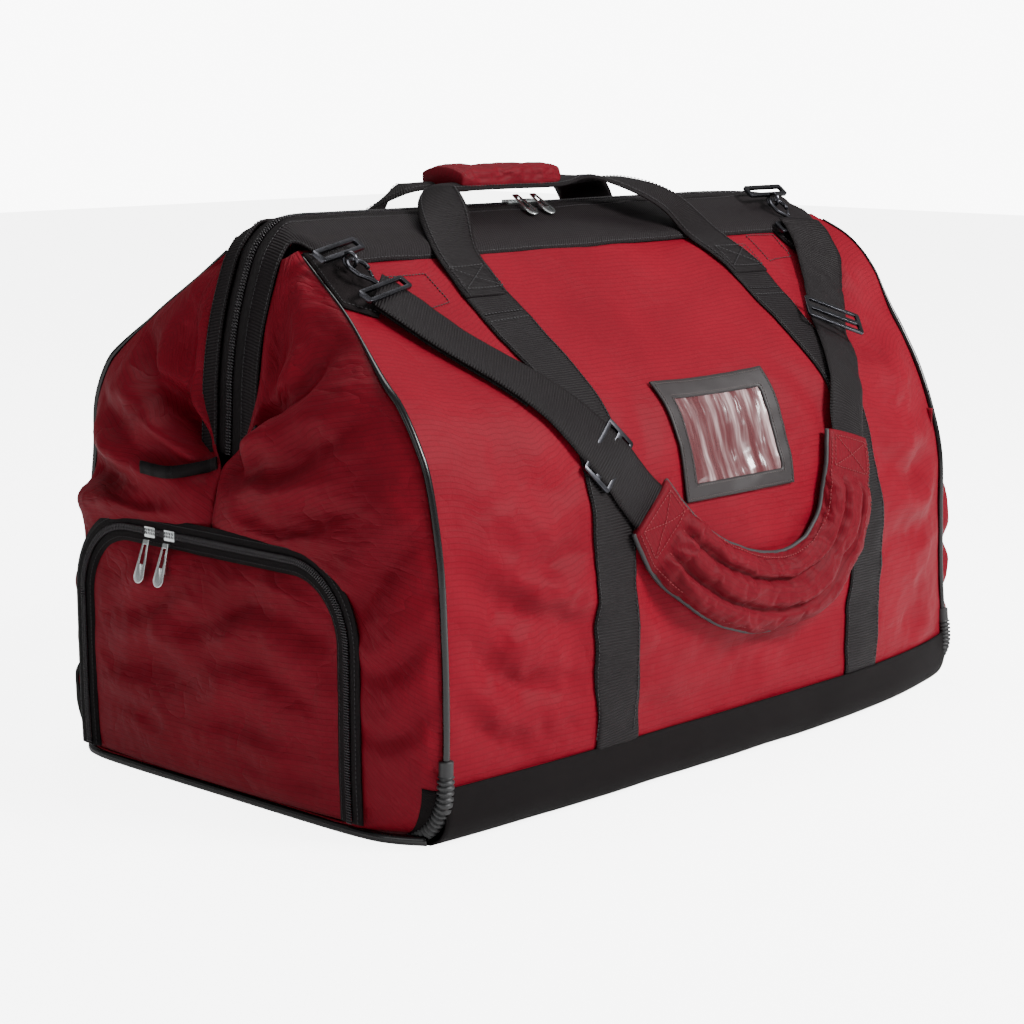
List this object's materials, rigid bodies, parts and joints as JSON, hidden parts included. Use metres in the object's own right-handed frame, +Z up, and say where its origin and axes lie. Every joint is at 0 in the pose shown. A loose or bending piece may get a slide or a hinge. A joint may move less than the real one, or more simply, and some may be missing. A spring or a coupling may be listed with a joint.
{
  "type": "hockey equipment bag",
  "caption": "Soft wide-mouth sports bag with hinged mouth frames, zipped end pockets, wrapped carry handles and a padded shoulder strap.",
  "frame": {"origin": "middle of the flat base, on the floor", "axes": "+X along the bag's length, the front faces -Y, +Z up"},
  "size_m": [0.7938, 0.5107, 0.4955],
  "materials": {
    "red_ripstop": "woven ripstop polyester",
    "black_twill": "heavy twill",
    "webbing": "ribbed polypropylene webbing",
    "zip_tape": "woven tape with a nylon coil",
    "stiffener": "board in a cloth sleeve",
    "piping": "glossy extruded cord",
    "steel": "zinc plated",
    "bright_nickel": "bright plated",
    "black_nickel": "black nickel plated",
    "vinyl": "grained vinyl",
    "clear_pvc": "clear flexible film"
  },
  "bodies": {
    "bag_body": {"base_board": "stiffener", "base_tub": "black_twill", "front_wall": "red_ripstop", "rear_wall": "red_ripstop", "left_end_panel": "red_ripstop", "right_end_panel": "red_ripstop", "left_pocket_wall": "red_ripstop", "right_pocket_wall": "red_ripstop", "left_piping": "piping", "right_piping": "piping", "left_mouth_rivet": "steel", "right_mouth_rivet": "steel", "front_left_strap": "webbing", "front_right_strap": "webbing", "rear_left_strap": "webbing", "rear_right_strap": "webbing", "shoulder_strap": "webbing", "shoulder_pad": "red_ripstop"},
    "front_mouth": {"front_roof": "red_ripstop", "front_left_gusset": "red_ripstop", "front_right_gusset": "red_ripstop", "front_band": "webbing", "front_frame": "steel", "front_zip": "zip_tape", "id_window_frame": "vinyl", "id_window_pane": "clear_pvc", "left_anchor_ring": "black_nickel", "right_anchor_ring": "black_nickel"},
    "rear_mouth": {"rear_roof": "red_ripstop", "rear_left_gusset": "red_ripstop", "rear_right_gusset": "red_ripstop", "rear_band": "webbing", "rear_frame": "steel", "rear_zip": "zip_tape"},
    "front_grip": {"front_handle": "webbing", "handle_wrap": "red_ripstop"},
    "rear_grip": {"rear_handle": "webbing"},
    "left_flap": {"left_pocket_flap": "red_ripstop"},
    "top_left_slide": {"top_left_slider": "bright_nickel"},
    "top_left_tab": {"top_left_pull": "bright_nickel"},
    "left_front_slide": {"left_pocket_front_slider": "bright_nickel"},
    "left_front_tab": {"left_pocket_front_pull": "bright_nickel"},
    "left_rear_slide": {"left_pocket_rear_slider": "bright_nickel"},
    "left_rear_tab": {"left_pocket_rear_pull": "bright_nickel"},
    "right_flap": {"right_pocket_flap": "red_ripstop"},
    "top_right_slide": {"top_right_slider": "bright_nickel"},
    "top_right_tab": {"top_right_pull": "bright_nickel"},
    "right_front_slide": {"right_pocket_front_slider": "bright_nickel"},
    "right_front_tab": {"right_pocket_front_pull": "bright_nickel"},
    "right_rear_slide": {"right_pocket_rear_slider": "bright_nickel"},
    "right_rear_tab": {"right_pocket_rear_pull": "bright_nickel"},
    "left_hook": {"left_snap_hook": "black_nickel"},
    "left_gate": {"left_hook_gate": "black_nickel"},
    "left_loop": {"left_strap_loop": "black_nickel"},
    "left_glide": {"left_adjuster": "black_nickel"},
    "right_hook": {"right_snap_hook": "black_nickel"},
    "right_gate": {"right_hook_gate": "black_nickel"},
    "right_loop": {"right_strap_loop": "black_nickel"},
    "right_glide": {"right_adjuster": "black_nickel"}
  },
  "joints": [
    {"name": "front_mouth_hinge", "type": "hinge", "parent": "bag_body", "child": "front_mouth", "pos_m": [0, 0, 0.272], "axis": [1, 0, 0], "range_deg": [0, 60], "deforming": ["front_left_strap", "front_right_strap", "left_piping", "right_piping", "shoulder_strap", "shoulder_pad", "handle_wrap"]},
    {"name": "rear_mouth_hinge", "type": "hinge", "parent": "bag_body", "child": "rear_mouth", "pos_m": [0, 0, 0.272], "axis": [-1, 0, 0], "range_deg": [0, 60], "deforming": ["rear_left_strap", "rear_right_strap"]},
    {"name": "front_grip_hinge", "type": "hinge", "parent": "front_mouth", "child": "front_grip", "pos_m": [0, -0.1089, 0.3924], "axis": [1, 0, 0], "range_deg": [0, 140]},
    {"name": "rear_grip_hinge", "type": "hinge", "parent": "rear_mouth", "child": "rear_grip", "pos_m": [0, 0.1089, 0.3924], "axis": [-1, 0, 0], "range_deg": [0, 140]},
    {"name": "left_flap_hinge", "type": "hinge", "parent": "bag_body", "child": "left_flap", "pos_m": [-0.377, 0, 0.012], "axis": [0, -1, 0], "range_deg": [0, 75]},
    {"name": "top_left_slide_run", "type": "slide", "parent": "front_mouth", "child": "top_left_slide", "axis": [-1, 0, 0], "range_m": [0, 0.195]},
    {"name": "top_left_tab_hinge", "type": "hinge", "parent": "top_left_slide", "child": "top_left_tab", "pos_m": [-0.034, -0.0055, 0.4688], "axis": [-1, 0, 0], "range_deg": [0, 35]},
    {"name": "left_front_slide_run", "type": "slide", "parent": "left_flap", "child": "left_front_slide", "axis": [0, -1, 0], "range_m": [0, 0.135]},
    {"name": "left_front_tab_hinge", "type": "hinge", "parent": "left_front_slide", "child": "left_front_tab", "pos_m": [-0.3846, 0.045, 0.2022], "axis": [0, 1, 0], "range_deg": [0, 135]},
    {"name": "left_rear_slide_run", "type": "slide", "parent": "left_flap", "child": "left_rear_slide", "axis": [0, 1, 0], "range_m": [0, 0.025]},
    {"name": "left_rear_tab_hinge", "type": "hinge", "parent": "left_rear_slide", "child": "left_rear_tab", "pos_m": [-0.3846, 0.07, 0.2022], "axis": [0, 1, 0], "range_deg": [0, 135]},
    {"name": "right_flap_hinge", "type": "hinge", "parent": "bag_body", "child": "right_flap", "pos_m": [0.377, 0, 0.012], "axis": [0, 1, 0], "range_deg": [0, 75]},
    {"name": "top_right_slide_run", "type": "slide", "parent": "front_mouth", "child": "top_right_slide", "axis": [1, 0, 0], "range_m": [0, 0.21]},
    {"name": "top_right_tab_hinge", "type": "hinge", "parent": "top_right_slide", "child": "top_right_tab", "pos_m": [-0.012, -0.0055, 0.4688], "axis": [-1, 0, 0], "range_deg": [0, 35]},
    {"name": "right_front_slide_run", "type": "slide", "parent": "right_flap", "child": "right_front_slide", "axis": [0, -1, 0], "range_m": [0, 0.135]},
    {"name": "right_front_tab_hinge", "type": "hinge", "parent": "right_front_slide", "child": "right_front_tab", "pos_m": [0.3846, 0.045, 0.2022], "axis": [0, -1, 0], "range_deg": [0, 135]},
    {"name": "right_rear_slide_run", "type": "slide", "parent": "right_flap", "child": "right_rear_slide", "axis": [0, 1, 0], "range_m": [0, 0.025]},
    {"name": "right_rear_tab_hinge", "type": "hinge", "parent": "right_rear_slide", "child": "right_rear_tab", "pos_m": [0.3846, 0.07, 0.2022], "axis": [0, -1, 0], "range_deg": [0, 135]},
    {"name": "left_hook_swing", "type": "hinge", "parent": "front_mouth", "child": "left_hook", "pos_m": [-0.29098, -0.07311, 0.42992], "axis": [-0.9703, -0.1952, -0.1429], "range_deg": [0, 45]},
    {"name": "left_loop_swivel", "type": "hinge", "parent": "left_hook", "child": "left_loop", "pos_m": [-0.2836, -0.09699, 0.41244], "axis": [0.2419, -0.7829, -0.5732], "range_deg": [-8, 8]},
    {"name": "left_gate_hinge", "type": "hinge", "parent": "left_hook", "child": "left_gate", "pos_m": [-0.2834, -0.0903, 0.41734], "axis": [0, -0.5908, 0.8068], "range_deg": [0, 20], "stiffness_Nm_per_rad": 0.01, "springref_deg": -5.73},
    {"name": "right_hook_swing", "type": "hinge", "parent": "front_mouth", "child": "right_hook", "pos_m": [0.286, -0.04108, 0.45383], "axis": [-1, 0, 0], "range_deg": [0, 45]},
    {"name": "right_loop_swivel", "type": "hinge", "parent": "right_hook", "child": "right_loop", "pos_m": [0.286, -0.06477, 0.43462], "axis": [0, -0.7767, -0.6299], "range_deg": [-8, 8]},
    {"name": "right_gate_hinge", "type": "hinge", "parent": "right_hook", "child": "right_gate", "pos_m": [0.2882, -0.05856, 0.43966], "axis": [0, -0.6299, 0.7767], "range_deg": [0, 20], "stiffness_Nm_per_rad": 0.01, "springref_deg": -5.73},
    {"name": "left_glide_run", "type": "slide", "parent": "bag_body", "child": "left_glide", "axis": [0.6157, -0.2927, -0.7316], "range_m": [-0.02, 0.02]},
    {"name": "right_glide_run", "type": "slide", "parent": "front_mouth", "child": "right_glide", "axis": [-0.5736, -0.6536, -0.4938], "range_m": [-0.02, 0.02]}
  ]
}
